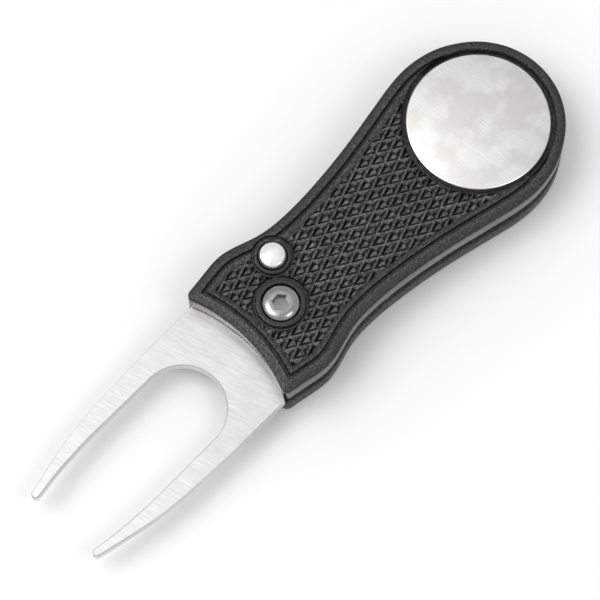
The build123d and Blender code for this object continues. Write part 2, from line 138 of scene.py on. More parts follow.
# Turned heads: (radius, depth under the top), from the flat top outwards and down
SCREW_FLAT_RADIUS = 1.9
SCREW_HEAD = [
    (SCREW_FLAT_RADIUS, 0.0), (2.2, 0.04), (2.5, 0.12), (2.76, 0.23), (2.98, 0.36), (3.14, 0.49),
    (3.25, 0.63), (3.3, 0.8),
]
SCREW_SHANK_RADIUS, SCREW_END_RADIUS, SCREW_END_CHAMFER = 1.5, 1.2, 0.3
SOCKET = [(2.95, 0.0), (2.62, 0.1), (2.42, 1.1)]  # width across flats, depth under the head's top
SOCKET_SIDE_POINTS = 12
BUTTON_HEAD = [(1.97, 0.0), (2.05, 0.03), (2.14, 0.12), (2.32, 0.42), (2.41, 0.6), (2.45, 0.78)]
BUTTON_FOOT_RADIUS, BUTTON_FOOT_CHAMFER = 2.38, 0.1
BUTTON_BORE_RADIUS, BUTTON_ROOF = 1.2, 0.9
# Rolled edge of the marker: (distance in from the rim, depth)
MARKER_ROLL = [(0.34, 0.0), (0.2, 0.03), (0.1, 0.09), (0.03, 0.19), (0.0, 0.33)]

# Grip pattern: a lattice of rhombic cells, with ridges between its nodes
NODE_AT = (46.15, 1.27)
LONG_RIDGE = np.array((2.405, 0.955))
SHORT_RIDGE = np.array((2.22, -1.29))
RIDGE_LEVEL = -0.24
LONG_CELLS, SHORT_CELLS = range(-24, 10), range(-24, 24)
# Cells outside this part of the plan are left out
FIELD_LEFT, FIELD_RIGHT, FIELD_HALF_WIDTH = -14, 66, 18
EDGE_SAMPLES = 17  # places tried along a cell's edge, to find where the field cuts it off
# How pale the grip is painted at each height against the ridges: rubbed wear and painted highlight on
# the ridges, the pits left black
RIDGE_WEAR_AND_HIGHLIGHT = [(-0.25, 0.0), (-0.02, 0.4), (0.03, 1.0)]
# How pale a cover's border is painted at each distance from the outline, against 1 on the grip's
# ridges: rubbed wear, and painted highlight on the groove's lips
BORDER_WEAR_AND_HIGHLIGHT = [
    (0.0, 0.03), (0.32, 0.06), (0.6, 0.1), (1.58, 0.32), (1.68, 0.25), (1.85, 0.0), (2.28, 0.0),
    (2.42, 0.4), (2.52, 0.45), (3.34, 0.06), (3.5, 0.06),
]
# Points of one cell, from its middle, with the height against the ridges
CELL_POINTS = {
    "left": (-2.31, 0.17, 0.03), "top": (0.09, 1.12, 0.03),
    "right": (2.31, -0.17, 0.03), "bottom": (-0.09, -1.12, 0.03),
    "left_in": (-2.12, 0.156, 0.0), "top_in": (0.083, 1.03, 0.0),
    "right_in": (2.12, -0.156, 0.0), "bottom_in": (-0.083, -1.03, 0.0),
    "pit_1a": (-1.25, 0.26, -0.62), "pit_1b": (-0.12, 0.68, -0.72),
    "crest_a": (-1.25, 0.06, -0.02), "crest_b": (-0.38, -0.4, 0.02),
    "peak": (-0.25, 0.1, 0.08), "saddle": (0.38, 0.1, -0.03), "edge": (1.5, 0.06, -0.04),
    "pit_2a": (-1.3, -0.2, -0.6), "pit_2b": (-0.42, -0.72, -0.72),
    "pit_3": (0.55, -0.16, -0.62), "spot": (0.0, -0.58, -0.03),
}
CELL_FACES = [
    ("left_in", "top_in", "pit_1b", "pit_1a"), ("left_in", "pit_1a", "crest_a"),
    ("pit_1a", "pit_1b", "peak", "crest_a"), ("pit_1b", "top_in", "saddle", "peak"),
    ("left_in", "crest_a", "pit_2a"), ("crest_a", "peak", "crest_b"),
    ("crest_a", "crest_b", "pit_2b", "pit_2a"), ("left_in", "pit_2a", "pit_2b", "bottom_in"),
    ("crest_b", "spot", "pit_2b"), ("pit_2b", "spot", "bottom_in"),
    ("crest_b", "peak", "saddle"), ("crest_b", "saddle", "spot"),
    ("saddle", "top_in", "right_in", "edge"), ("saddle", "edge", "pit_3"),
    ("edge", "right_in", "pit_3"), ("pit_3", "right_in", "bottom_in"),
    ("pit_3", "bottom_in", "spot"), ("pit_3", "spot", "saddle"),
    ("left", "top", "top_in", "left_in"), ("top", "right", "right_in", "top_in"),
    ("right", "bottom", "bottom_in", "right_in"), ("bottom", "left", "left_in", "bottom_in"),
]


# ------------------------------------------------------------------ plan geometry
def circle(centre, radius, count=ROUND_POINTS):
    """A closed loop of points round a circle, anticlockwise."""
    turn = np.arange(count) * 2 * pi / count
    return np.array(centre) + radius * np.stack([np.cos(turn), np.sin(turn)], 1)


def smooth_loop(points, step):
    """A closed loop through the points on Catmull-Rom curves, evenly spaced."""
    before, after, beyond = (np.roll(points, shift, 0) for shift in (1, -1, -2))
    t = np.linspace(0, 1, CURVE_POINTS, endpoint=False)[None, :, None]
    before, at, after, beyond = (p[:, None, :] for p in (before, points, after, beyond))
    ahead = np.linalg.norm(after - at, axis=2, keepdims=True)
    behind = np.linalg.norm(at - before, axis=2, keepdims=True)
    next_one = np.linalg.norm(beyond - after, axis=2, keepdims=True)
    slope_at = (after - before) / (ahead + behind) * ahead
    slope_after = (beyond - at) / (ahead + next_one) * ahead
    dense = (
        (2 * t**3 - 3 * t**2 + 1) * at + (t**3 - 2 * t**2 + t) * slope_at
        + (3 * t**2 - 2 * t**3) * after + (t**3 - t**2) * slope_after
    ).reshape(-1, 2)
    closed = np.vstack([dense, dense[:1]])
    run = np.concatenate([[0], np.cumsum(np.linalg.norm(np.diff(closed, axis=0), axis=1))])
    places = np.linspace(0, run[-1], int(run[-1] / step) + 1)[:-1]
    return np.stack([np.interp(places, run, closed[:, k]) for k in (0, 1)], 1)


def handle_outline():
    """The handle's outline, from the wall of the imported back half."""
    points = np.array([v.co for v in nodes["bottom_shell"].data.vertices]) / MM
    wall = points[np.abs(points[:, 2] - (SLOT_FLOOR - SLOT_EDGE)) < 0.002][:, :2]
    wall = np.unique(np.round(wall, 3), axis=0)
    middle = (wall.min(0) + wall.max(0)) / 2
    turn = np.arctan2(*(wall - middle).T[::-1])
    wall = wall[np.argsort(turn)]
    gap = np.linalg.norm(wall - np.roll(wall, 1, 0), axis=1)
    return smooth_loop(wall[gap > TOUCH], STEP)


def distance_to(points, loop):
    """The distance of each point from a closed loop of short straight runs."""
    start, run = loop, np.roll(loop, -1, 0) - loop
    best = np.full(len(points), 1e9)
    for a, d in zip(start, run):
        t = np.clip(((points - a) @ d) / (d @ d), 0, 1)
        best = np.minimum(best, np.linalg.norm(points - a - t[:, None] * d, axis=1))
    return best


def inside(points, loop):
    """Which points lie inside a closed loop."""
    x, y = points.T
    found = np.zeros(len(points), bool)
    for (x0, y0), (x1, y1) in zip(loop, np.roll(loop, -1, 0)):
        if y0 != y1:
            crossing = (y0 > y) != (y1 > y)
            found ^= crossing & (x < (x1 - x0) * (y - y0) / (y1 - y0) + x0)
    return found


def runs_between(loop, good):
    """The straight runs of a closed loop whose two ends are both good, as pairs of points."""
    both = good & np.roll(good, -1)
    return list(zip(loop[both], np.roll(loop, -1, 0)[both]))


def inset_loop(loop, distance):
    """An anticlockwise loop drawn in by a distance, mitred where it would fold over."""
    if distance == 0:
        return loop
    tangent = np.roll(loop, -1, 0) - np.roll(loop, 1, 0)
    tangent /= np.linalg.norm(tangent, axis=1, keepdims=True)
    moved = loop + distance * np.stack([-tangent[:, 1], tangent[:, 0]], 1)
    slack = 0.004
    keep = distance_to(moved, loop) > distance - slack
    start = int(np.argmax(keep & ~np.roll(keep, 1))) if not keep.all() else 0
    order = np.roll(np.arange(len(loop)), -start)
    made = []
    for place, i in enumerate(order):
        if keep[i]:
            made.append(moved[i])
        elif keep[order[place - 1]]:
            j = next(k for k in np.concatenate([order[place:], order]) if keep[k])
            p, q = moved[order[place - 1]], moved[j]
            along_p, along_q = tangent[order[place - 1]], tangent[j]
            span = np.linalg.solve(np.stack([along_p, -along_q], 1), q - p)
            made.append(p + along_p * span[0])
    return np.array(made)


# ------------------------------------------------------------------ the grip pattern
def cell_triangles():
    """The faces of one cell as triangles of (x, y, height)."""
    triangles = []
    for names in CELL_FACES:
        corners = [CELL_POINTS[name] for name in names]
        triangles += [(corners[0], corners[i], corners[i + 1]) for i in range(1, len(corners) - 1)]
    return np.array(triangles)


CELL_TRIANGLES = cell_triangles()
TO_CELL = np.linalg.inv(np.stack([LONG_RIDGE, SHORT_RIDGE], 1))


def pattern_height(points):
    """The height of the grip pattern at each point, against the ridges."""
    share = (points - NODE_AT) @ TO_CELL.T
    local = (share - np.floor(share) - 0.5) @ np.stack([LONG_RIDGE, SHORT_RIDGE])
    height = np.zeros(len(points))
    found = np.zeros(len(points), bool)
    slack = 1e-3
    for a, b, c in CELL_TRIANGLES:
        sides = np.stack([b[:2] - a[:2], c[:2] - a[:2]], 1)
        u, v = ((local - a[:2]) @ np.linalg.inv(sides).T).T
        hit = (u > -slack) & (v > -slack) & (u + v < 1 + slack) & ~found
        height[hit] = (a[2] + u * (b[2] - a[2]) + v * (c[2] - a[2]))[hit]
        found |= hit
    return height


def pattern_edges(allowed):
    """The edges of all cells, cut off where allowed() says that the field ends."""
    edges = set()
    for names in CELL_FACES:
        for first, second in zip(names, names[1:] + names[:1]):
            edges.add(tuple(sorted((first, second))))
    middle = np.array(NODE_AT) + (LONG_RIDGE + SHORT_RIDGE) / 2
    pieces = []
    for i in LONG_CELLS:
        for j in SHORT_CELLS:
            place = middle + i * LONG_RIDGE + j * SHORT_RIDGE
            if abs(place[1]) > FIELD_HALF_WIDTH or not FIELD_LEFT < place[0] < FIELD_RIGHT:
                continue
            for first, second in sorted(edges):
                pieces.append((place + CELL_POINTS[first][:2], place + CELL_POINTS[second][:2]))
    pieces = np.array(pieces)
    t = np.linspace(0, 1, EDGE_SAMPLES)[None, :, None]
    samples = pieces[:, None, 0] * (1 - t) + pieces[:, None, 1] * t
    good = allowed(samples.reshape(-1, 2)).reshape(-1, EDGE_SAMPLES)
    kept = []
    steps = EDGE_SAMPLES - 1
    for (a, b), row in zip(pieces, good):
        if row.all():
            kept.append((a, b))
        elif row.any():
            first, last = np.flatnonzero(row)[[0, -1]]
            first, last = max(first - 1, 0), min(last + 1, steps)
            kept.append((a + (b - a) * first / steps, a + (b - a) * last / steps))
    return kept


# ------------------------------------------------------------------ meshes
class Surface:
    """Collects the faces of one closed piece, in millimetres."""

    def __init__(self):
        self.points, self.faces, self.total = [], [], 0

    def add(self, points, faces):
        """Adds points, and faces that count from the first of them."""
        self.faces += [[i + self.total for i in face] for face in faces]
        self.points.append(np.array(points, float))
        self.total += len(points)

    def wall(self, lower, upper):
        """Joins two loops of three-dimensional points with the same count, seen from outside."""
        count = len(lower)
        around = [(i, (i + 1) % count) for i in range(count)]
        faces = [(i, j, j + count, i + count) for i, j in around]
        self.add(np.vstack([lower, upper]), faces)

    def ring(self, lower, upper):
        """Joins two loops of three-dimensional points whose counts may differ."""
        if len(lower) == len(upper):
            self.wall(lower, upper)
            return
        i = j = 0
        faces = []
        shift = int(np.argmin(np.linalg.norm(upper[:, :2] - lower[0, :2], axis=1)))
        upper = np.roll(upper, -shift, 0)
        while i < len(lower) or j < len(upper):
            here_a, here_b = i % len(lower), j % len(upper)
            next_a, next_b = (i + 1) % len(lower), (j + 1) % len(upper)
            step_a = np.linalg.norm(lower[next_a] - upper[here_b])
            step_b = np.linalg.norm(upper[next_b] - lower[here_a])
            if j >= len(upper) or (i < len(lower) and step_a < step_b):
                faces.append((here_a, next_a, here_b + len(lower)))
                i += 1
            else:
                faces.append((here_a, next_b + len(lower), here_b + len(lower)))
                j += 1
        self.add(np.vstack([lower, upper]), faces)

    def sheet(self, outer, holes, height, upward=True, extra=()):
        """A face over the plan between loops, its height given point by point."""
        coordinates, constraints = [], []
        for loop in [outer, *holes, *[e for e in extra if len(e) > 2]]:
            first = len(coordinates)
            coordinates += [Vector(p) for p in loop]
            constraints += [(first + i, first + (i + 1) % len(loop)) for i in range(len(loop))]
        for a, b in [e for e in extra if len(e) == 2]:
            constraints.append((len(coordinates), len(coordinates) + 1))
            coordinates += [Vector(a), Vector(b)]
        found, _, triangles, *_ = delaunay_2d_cdt(coordinates, constraints, [], 0, 1e-5)
        plan = np.array([tuple(p) for p in found])
        triangles = np.array([tuple(t) for t in triangles])
        middle = plan[triangles].mean(1)
        keep = inside(middle, outer)
        for hole in holes:
            keep &= ~inside(middle, hole)
        triangles = triangles[keep]
        corners = plan[triangles]
        side_a, side_b = corners[:, 1] - corners[:, 0], corners[:, 2] - corners[:, 0]
        turned = (side_a[:, 0] * side_b[:, 1] - side_a[:, 1] * side_b[:, 0]) > 0
        triangles[turned != upward] = triangles[turned != upward][:, ::-1]
        used, flat = np.unique(triangles, return_inverse=True)
        plan = plan[used]
        level = height(plan) if callable(height) else np.full(len(plan), float(height))
        self.add(np.column_stack([plan, level]), flat.reshape(-1, 3).tolist())


def at(loop, level):
    """A plan loop lifted to a level, which may differ from point to point."""
    return np.column_stack([loop, np.broadcast_to(level, len(loop))])


def mark_wear_and_highlight(piece, share):
    """Stores how pale each point is to be painted, as rubbed wear and painted highlight, for the
    material to read.
    """
    points = np.array([v.co for v in piece.data.vertices]) / MM
    layer = piece.data.attributes.new("wear_and_highlight", "FLOAT", "POINT")
    layer.data.foreach_set("value", share(points).astype(np.float32))


WELD, SLIVER = 2e-6, 1e-7  # metres: nearer points are welded, shorter edges dissolved


def mesh_piece(name, surface, body, material, replaced, sharp=28):
    """Makes the collected faces one welded object that rides on a body and stands for CAD nodes."""
    mesh = bpy.data.meshes.new(name)
    mesh.from_pydata((np.vstack(surface.points) * MM).tolist(), [], surface.faces)
    work = bmesh.new()
    work.from_mesh(mesh)
    bmesh.ops.remove_doubles(work, verts=work.verts, dist=WELD)
    bmesh.ops.dissolve_degenerate(work, edges=work.edges, dist=SLIVER)
    bmesh.ops.recalc_face_normals(work, faces=work.faces)
    work.to_mesh(mesh)
    work.free()
    mesh.shade_smooth()
    mesh.set_sharp_from_angle(angle=radians(sharp))
    piece = bpy.data.objects.new(name, mesh)
    bpy.context.scene.collection.objects.link(piece)
    mesh.materials.append(material)
    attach(piece, body)
    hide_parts(*replaced)
    return piece


OUTLINE = handle_outline()
OUTLINE_INSETS = {}


def inset(distance):
    """The handle's outline drawn in by a distance, worked out once."""
    if distance not in OUTLINE_INSETS:
        OUTLINE_INSETS[distance] = inset_loop(OUTLINE, distance)
    return OUTLINE_INSETS[distance]


# ------------------------------------------------------------------ the two black covers
class Face:
    """The height of a cover's outer face over its plan, and the lines where it bends."""

    def __init__(self, border, bosses, pads):
        self.border, self.bosses, self.pads = border, bosses, pads

    def around(self, points):
        """The border and the grip field, without the bosses."""
        distance = distance_to(points, OUTLINE)
        inner, edge = self.border[-1]
        field = RIDGE_LEVEL + pattern_height(points)
        for centre, radius in self.pads:
            field[np.linalg.norm(points - centre, axis=1) < radius + TOUCH / 2] = PAD_LEVEL
        share = np.clip((distance - inner) / (FIELD_EDGE - inner), 0, 1)
        rim = np.interp(distance, *zip(*self.border))
        return np.where(distance < inner, rim, edge + (field - edge) * share)

    def height(self, points):
        """The whole face, with the bosses blended into what is round them."""
        made = self.around(points)
        for centre, profile in self.bosses:
            away = np.linalg.norm(points - centre, axis=1)
            radii = [radius for radius, _ in profile]
            levels = [level for _, level in profile[:-1]]
            reached = np.interp(away, radii[:-1], levels)
            share = np.clip((away - radii[-2]) / (radii[-1] - radii[-2]), 0, 1)
            blended = reached + (made - reached) * share
            made = np.where(away < radii[-1], blended, made)
        return made

    def clear(self, points, margin=0.0):
        """Which points lie outside every boss."""
        good = np.ones(len(points), bool)
        for centre, profile in self.bosses:
            good &= np.linalg.norm(points - centre, axis=1) > profile[-1][0] + margin
        return good

    def in_field(self, points):
        """Which points lie in the grip field."""
        good = (distance_to(points, OUTLINE) > FIELD_EDGE) & self.clear(points)
        for centre, radius in self.pads:
            good &= np.linalg.norm(points - centre, axis=1) > radius
        return good

    def wear_and_highlight(self, points):
        """How pale the face is painted, as rubbed wear and painted highlight: full on the grip's
        ridges, none in its pits.
        """
        plan = points[:, :2]
        field = self.in_field(plan) | (np.abs(distance_to(plan, OUTLINE) - FIELD_EDGE) < TOUCH)
        ridge = np.interp(pattern_height(plan), *zip(*RIDGE_WEAR_AND_HIGHLIGHT))
        band = np.interp(distance_to(plan, OUTLINE), *zip(*BORDER_WEAR_AND_HIGHLIGHT))
        return np.where(field, ridge, band)

    def lines(self):
        """Every line that the face bends along, as pairs of points."""
        pairs = pattern_edges(self.in_field)
        loops = [inset(distance) for distance, _ in self.border[1:]] + [inset(FIELD_EDGE)]
        for loop in loops:
            pairs += runs_between(loop, self.clear(loop, TOUCH))
        for centre, profile in self.bosses:
            for radius, _ in profile[1:]:
                loop = circle(centre, radius)
                pairs += runs_between(loop, inside(loop, inset(BOSS_MARGIN)))
        for centre, radius in self.pads:
            loop = circle(centre, radius, PAD_POINTS)
            pairs += runs_between(loop, inside(loop, inset(FIELD_EDGE)))
        return pairs


def bore(surface, centre, steps, count=ROUND_POINTS):
    """Adds the round walls that steps of (radius, level) sweep about a centre."""
    for (radius_a, level_a), (radius_b, level_b) in zip(steps, steps[1:]):
        loop_a, loop_b = circle(centre, radius_a, count), circle(centre, radius_b, count)
        surface.wall(at(loop_a, level_a), at(loop_b, level_b))


def grip_cover(material):
    """The cover on the button side: border groove, grip field, two bosses, the marker's recess."""
    face = Face(
        GRIP_BORDER, [(PIVOT, SCREW_BOSS), (BUTTON, BUTTON_BOSS), (HEAD, RECESS_LIP)], []
    )
    surface = Surface()
    screw_hole = circle(PIVOT, SCREW_HOLE_RADIUS)
    button_hole = circle(BUTTON, BUTTON_HOLE_RADIUS)
    recess = circle(HEAD, RECESS_RADIUS)
    floor_edge = circle(HEAD, FLOOR_RADIUS)
    surface.sheet(
        OUTLINE, [screw_hole, button_hole, recess],
        lambda plan: COVER_LEVEL + face.height(plan), extra=face.lines(),
    )
    seam_edge = inset(SEAM_EDGE_IN)
    wall_foot, wall_top = SEAM_LEVEL + SEAM_EDGE_UP, COVER_LEVEL + GRIP_BORDER[0][1]
    surface.wall(at(OUTLINE, wall_foot), at(OUTLINE, wall_top))
    surface.ring(at(seam_edge, SEAM_LEVEL), at(OUTLINE, wall_foot))
    surface.sheet(seam_edge, [floor_edge, screw_hole, button_hole], SEAM_LEVEL, upward=False)
    for centre, radius, profile in (
        (PIVOT, SCREW_HOLE_RADIUS, SCREW_BOSS), (BUTTON, BUTTON_HOLE_RADIUS, BUTTON_BOSS),
        (HEAD, RECESS_RADIUS, RECESS_LIP),
    ):
        bore(surface, centre, [(radius, COVER_LEVEL + profile[0][1]), (radius, SEAM_LEVEL)])
    bore(surface, HEAD, [(FLOOR_RADIUS, SEAM_LEVEL), (FLOOR_RADIUS, FLOOR_BASE)])
    bore(surface, HEAD, [(CUP_HOLE_RADIUS, SEAM_LEVEL), (CUP_HOLE_RADIUS, FLOOR_BASE)])
    cup = circle(HEAD, CUP_HOLE_RADIUS)
    wide = [circle(centre, RECESS_SCREW_HEAD_RADIUS, SMALL_POINTS) for centre in RECESS_SCREWS]
    narrow = [circle(centre, RECESS_SCREW_RADIUS, SMALL_POINTS) for centre in RECESS_SCREWS]
    countersink = [
        (RECESS_SCREW_HEAD_RADIUS, SEAM_LEVEL),
        (RECESS_SCREW_RADIUS, SEAM_LEVEL - RECESS_SCREW_SINK), (RECESS_SCREW_RADIUS, FLOOR_BASE),
    ]
    for centre in RECESS_SCREWS:
        bore(surface, centre, countersink, SMALL_POINTS)
    surface.sheet(recess, [cup, *wide], SEAM_LEVEL)
    surface.sheet(floor_edge, [cup, *narrow], FLOOR_BASE, upward=False)
    piece = mesh_piece(
        "grip_cover", surface, "handle", material, ["top_shell"]
    )
    mark_wear_and_highlight(piece, face.wear_and_highlight)


def back_cover(material):
    """The cover on the other side: the same border and grip, the barrel's flange and three screws."""
    face = Face(
        BACK_BORDER, [(PIVOT, FLANGE_BOSS)], [(centre, BACK_SCREW_PAD) for centre in SHELL_SCREWS]
    )

    def level(plan):
        return -face.height(plan)

    def through(centre, mouth, seat_level, inner):
        """A stepped hole from the outer face up to the slot."""
        loop = circle(centre, mouth)
        surface.wall(at(loop, level(loop)), at(loop, seat_level))
        bore(surface, centre, [(mouth, seat_level), (inner, seat_level), (inner, SLOT_FLOOR)])
        return loop, circle(centre, inner)

    def pocket(centre, radius, floor_level):
        """A blind hole that opens into the slot."""
        loop = circle(centre, radius)
        surface.wall(at(loop, floor_level), at(loop, SLOT_FLOOR))
        surface.sheet(loop, [], floor_level)
        return loop

    surface = Surface()
    holes = [through(PIVOT, FLANGE_HOLE_RADIUS, FLANGE_DEPTH, BARREL_RADIUS)]
    for centre in SHELL_SCREWS:
        holes.append(
            through(centre, BACK_SCREW_HOLE_RADIUS, BACK_SCREW_SEAT, BACK_SCREW_RADIUS)
        )
    pockets = [
        pocket(BUTTON, PLUNGER_HOLE_RADIUS, PLUNGER_HOLE_FLOOR),
        pocket(STOP_PIN, STOP_PIN_RADIUS, STOP_PIN_FLOOR),
    ]
    surface.sheet(
        OUTLINE, [mouth for mouth, _ in holes], level, upward=False, extra=face.lines()
    )
    edge = [(inwards, SLOT_FLOOR + up) for inwards, up in SLOT_ROUND]
    surface.wall(at(OUTLINE, -BACK_BORDER[0][1]), at(OUTLINE, edge[0][1]))
    for (inner_a, level_a), (inner_b, level_b) in zip(edge, edge[1:]):
        surface.ring(at(inset(inner_a), level_a), at(inset(inner_b), level_b))
    surface.sheet(inset(edge[-1][0]), [loop for _, loop in holes] + pockets, SLOT_FLOOR)
    piece = mesh_piece(
        "back_cover", surface, "handle", material, ["bottom_shell"]
    )
    mark_wear_and_highlight(piece, face.wear_and_highlight)


# ------------------------------------------------------------------ turned pieces
def turned(surface, centre, profile, count=FINE_POINTS):
    """Adds the wall that a profile of (radius, level) sweeps, with flat ends."""
    bore(surface, centre, profile, count)
    first, last = profile[0], profile[-1]
    surface.sheet(circle(centre, first[0], count), [], first[1])
    surface.sheet(circle(centre, last[0], count), [], last[1], upward=False)


def hexagon(centre, flats, per_side=SOCKET_SIDE_POINTS):
    """A closed hexagonal loop with the given width across flats."""
    turn = np.arange(6) * pi / 3 + HEX_TURN
    corners = np.array(centre) + flats / 2 / cos(pi / 6) * np.stack([np.cos(turn), np.sin(turn)], 1)
    share = np.arange(per_side)[:, None] / per_side
    sides = zip(corners, np.roll(corners, -1, 0))
    return np.vstack([a + (b - a) * share for a, b in sides])


def pivot_screw(material):
    """A domed screw head with a countersunk hexagonal socket, and its shank."""
    surface = Surface()
    profile = [(radius, SCREW_TOP - depth) for radius, depth in SCREW_HEAD]
    profile += [
        (SCREW_HEAD[-1][0], SEAM_LEVEL), (SCREW_SHANK_RADIUS, SEAM_LEVEL),
        (SCREW_SHANK_RADIUS, SCREW_END + SCREW_END_CHAMFER), (SCREW_END_RADIUS, SCREW_END),
    ]
    bore(surface, PIVOT, profile, FINE_POINTS)
    surface.sheet(circle(PIVOT, SCREW_END_RADIUS, FINE_POINTS), [], SCREW_END, upward=False)
    loops = [(hexagon(PIVOT, flats), SCREW_TOP - depth) for flats, depth in SOCKET]
    surface.sheet(circle(PIVOT, SCREW_FLAT_RADIUS, FINE_POINTS), [loops[0][0]], SCREW_TOP)
    for (upper, level_a), (lower, level_b) in zip(loops, loops[1:]):
        surface.wall(at(lower, level_b), at(upper, level_a))
    surface.sheet(loops[-1][0], [], loops[-1][1])
    mesh_piece(
        "hex_screw", surface, "handle", material, ["pivot_screw"], sharp=24
    )


def button_cap(material):
    """The bright lock button: a flat top with a broad rounded edge, hollow for the plunger."""
    surface = Surface()
    profile = [(radius, BUTTON_TOP - depth) for radius, depth in BUTTON_HEAD]
    profile += [
        (BUTTON_HEAD[-1][0], BUTTON_BASE + BUTTON_FOOT_CHAMFER), (BUTTON_FOOT_RADIUS, BUTTON_BASE),
        (BUTTON_BORE_RADIUS, BUTTON_BASE), (BUTTON_BORE_RADIUS, BUTTON_TOP - BUTTON_ROOF),
    ]
    turned(surface, BUTTON, profile)
    mesh_piece(
        "button_cap", surface, "button", material, ["lock_button"], sharp=35
    )


def marker_disc(material):
    """The ball marker: a steel disc with rolled edges."""
    low, high = box_mm("ball_marker")
    radius = (high - low)[0] / 2
    top = [(radius - inwards, MARKER_TOP - down) for inwards, down in MARKER_ROLL]
    base = [(radius - inwards, MARKER_BASE + down) for inwards, down in MARKER_ROLL[::-1]]
    surface = Surface()
    turned(surface, HEAD, top + base, MARKER_POINTS)
    mesh_piece(
        "marker_disc", surface, "marker", material, ["ball_marker"], sharp=35
    )


# ------------------------------------------------------------------ materials
class Finish:
    """Builds one node material; sizes and depths are in millimetres."""

    def __init__(self, name, rough, metallic=1.0):
        self.material = bpy.data.materials.new(name)
        self.material.use_nodes = True
        self.nodes = self.material.node_tree.nodes
        self.shader = self.nodes["Principled BSDF"]
        self.shader.inputs["Metallic"].default_value = metallic
        self.shader.inputs["Roughness"].default_value = rough
        self.place = self.nodes.new("ShaderNodeTexCoord").outputs["Object"]

    def link(self, source, target):
        """Joins a node's output to another's input."""
        self.material.node_tree.links.new(source, target)

    def noise(self, size, detail=2.0, stretch=1.0, turn=0.0):
        """A noise of the given grain, drawn out along a direction in plan."""
        mapping = self.nodes.new("ShaderNodeMapping")
        mapping.vector_type = "TEXTURE"
        mapping.inputs["Rotation"].default_value = (0, 0, radians(turn))
        mapping.inputs["Scale"].default_value = (size * stretch * MM, size * MM, size * MM)
        self.link(self.place, mapping.inputs["Vector"])
        noise = self.nodes.new("ShaderNodeTexNoise")
        noise.inputs["Scale"].default_value = 1.0
        noise.inputs["Detail"].default_value = detail
        self.link(mapping.outputs["Vector"], noise.inputs["Vector"])
        return noise.outputs["Fac"]

    def wear_and_highlight_share(self, low=0.5, high=0.56):
        """How far a place stands out from what is round it, from 0 to 1."""
        geometry = self.nodes.new("ShaderNodeNewGeometry")
        return self.ramp(geometry.outputs["Pointiness"], 0, 1, low, high)

    def attribute(self, name):
        """A value stored on the mesh; it is 0 where the mesh has none."""
        node = self.nodes.new("ShaderNodeAttribute")
        node.attribute_name = name
        return node.outputs["Fac"]

    def ramp(self, source, low, high, start=0.35, end=0.65):
        """Brings a value from start..end to low..high."""
        ramp = self.nodes.new("ShaderNodeMapRange")
        for name, value in (
            ("From Min", start), ("From Max", end), ("To Min", low), ("To Max", high),
        ):
            ramp.inputs[name].default_value = value
        self.link(source, ramp.inputs["Value"])
        return ramp.outputs["Result"]

    def combine(self, operation, first, second):
        """A sum or product of two values, either of them a number or an output."""
        node = self.nodes.new("ShaderNodeMath")
        node.operation = operation
        for value, socket in zip((first, second), node.inputs):
            if isinstance(value, (int, float)):
                socket.default_value = value
            else:
                self.link(value, socket)
        return node.outputs["Value"]

    def mix(self, share, first, second):
        """A colour between two, either of them a colour or another mix."""
        node = self.nodes.new("ShaderNodeMix")
        node.data_type = "RGBA"
        self.link(share, node.inputs["Factor"])
        for value, name in ((first, "A"), (second, "B")):
            socket = next(i for i in node.inputs if i.name == name and i.type == "RGBA")
            if isinstance(value, tuple):
                socket.default_value = (*value, 1)
            else:
                self.link(value, socket)
        return next(o for o in node.outputs if o.type == "RGBA")

    def set(self, name, source):
        """Feeds one of the shader's inputs."""
        self.link(source, self.shader.inputs[name])

    def bump(self, *layers):
        """Stacks bumps: (height, depth) from the coarsest to the finest."""
        below = None
        for height, depth in layers:
            bump = self.nodes.new("ShaderNodeBump")
            bump.inputs["Strength"].default_value = 1.0
            bump.inputs["Distance"].default_value = depth * MM
            self.link(height, bump.inputs["Height"])
            if below:
                self.link(below, bump.inputs["Normal"])
            below = bump.outputs["Normal"]
        self.set("Normal", below)


def black_plastic():
    """Moulded black plastic: fine satin grain, painted paler on ridges and groove lips as rubbed wear
    and painted highlight.
    """
    finish = Finish("black_plastic", 0.42, 0.0)
    grain = finish.noise(0.42, 3.0)
    patches = finish.noise(3.0, 3.0)
    body = finish.mix(finish.ramp(grain, 0, 1), (0.001, 0.001, 0.001), (0.014, 0.014, 0.0145))
    # Ridges and groove lips are painted pale here: rubbed wear and painted highlight; pits and the
    # groove floor stay black.
    wear_and_highlight_share = finish.combine("MULTIPLY", finish.attribute("wear_and_highlight"), finish.ramp(patches, 0.6, 1.0))
    wear_and_highlight_share = finish.combine("MULTIPLY", wear_and_highlight_share, finish.ramp(grain, 0.1, 1.0, 0.38, 0.62))
    finish.set("Base Color", finish.mix(wear_and_highlight_share, body, (0.2, 0.2, 0.203)))
    rough = finish.combine("ADD", finish.ramp(grain, 0.2, -0.1), finish.ramp(patches, 0.3, 0.4))
    finish.set("Roughness", rough)
    finish.bump((patches, 0.05), (grain, 0.13))
    return finish.material


def frame_metal():
    """Blasted aluminium plate with a warm grey cast."""
    finish = Finish("frame_metal", 0.42)
    grain = finish.noise(0.12, 2.0)
    patches = finish.noise(3.2, 2.0, 3.0)
    tone = finish.mix(finish.ramp(patches, 0, 1), (0.17, 0.165, 0.155), (0.23, 0.225, 0.21))
    finish.set("Base Color", finish.mix(finish.ramp(grain, 0, 0.5), tone, (0.3, 0.29, 0.28)))
    finish.set("Roughness", finish.ramp(grain, 0.36, 0.5))
    finish.bump((grain, 0.006))
    return finish.material


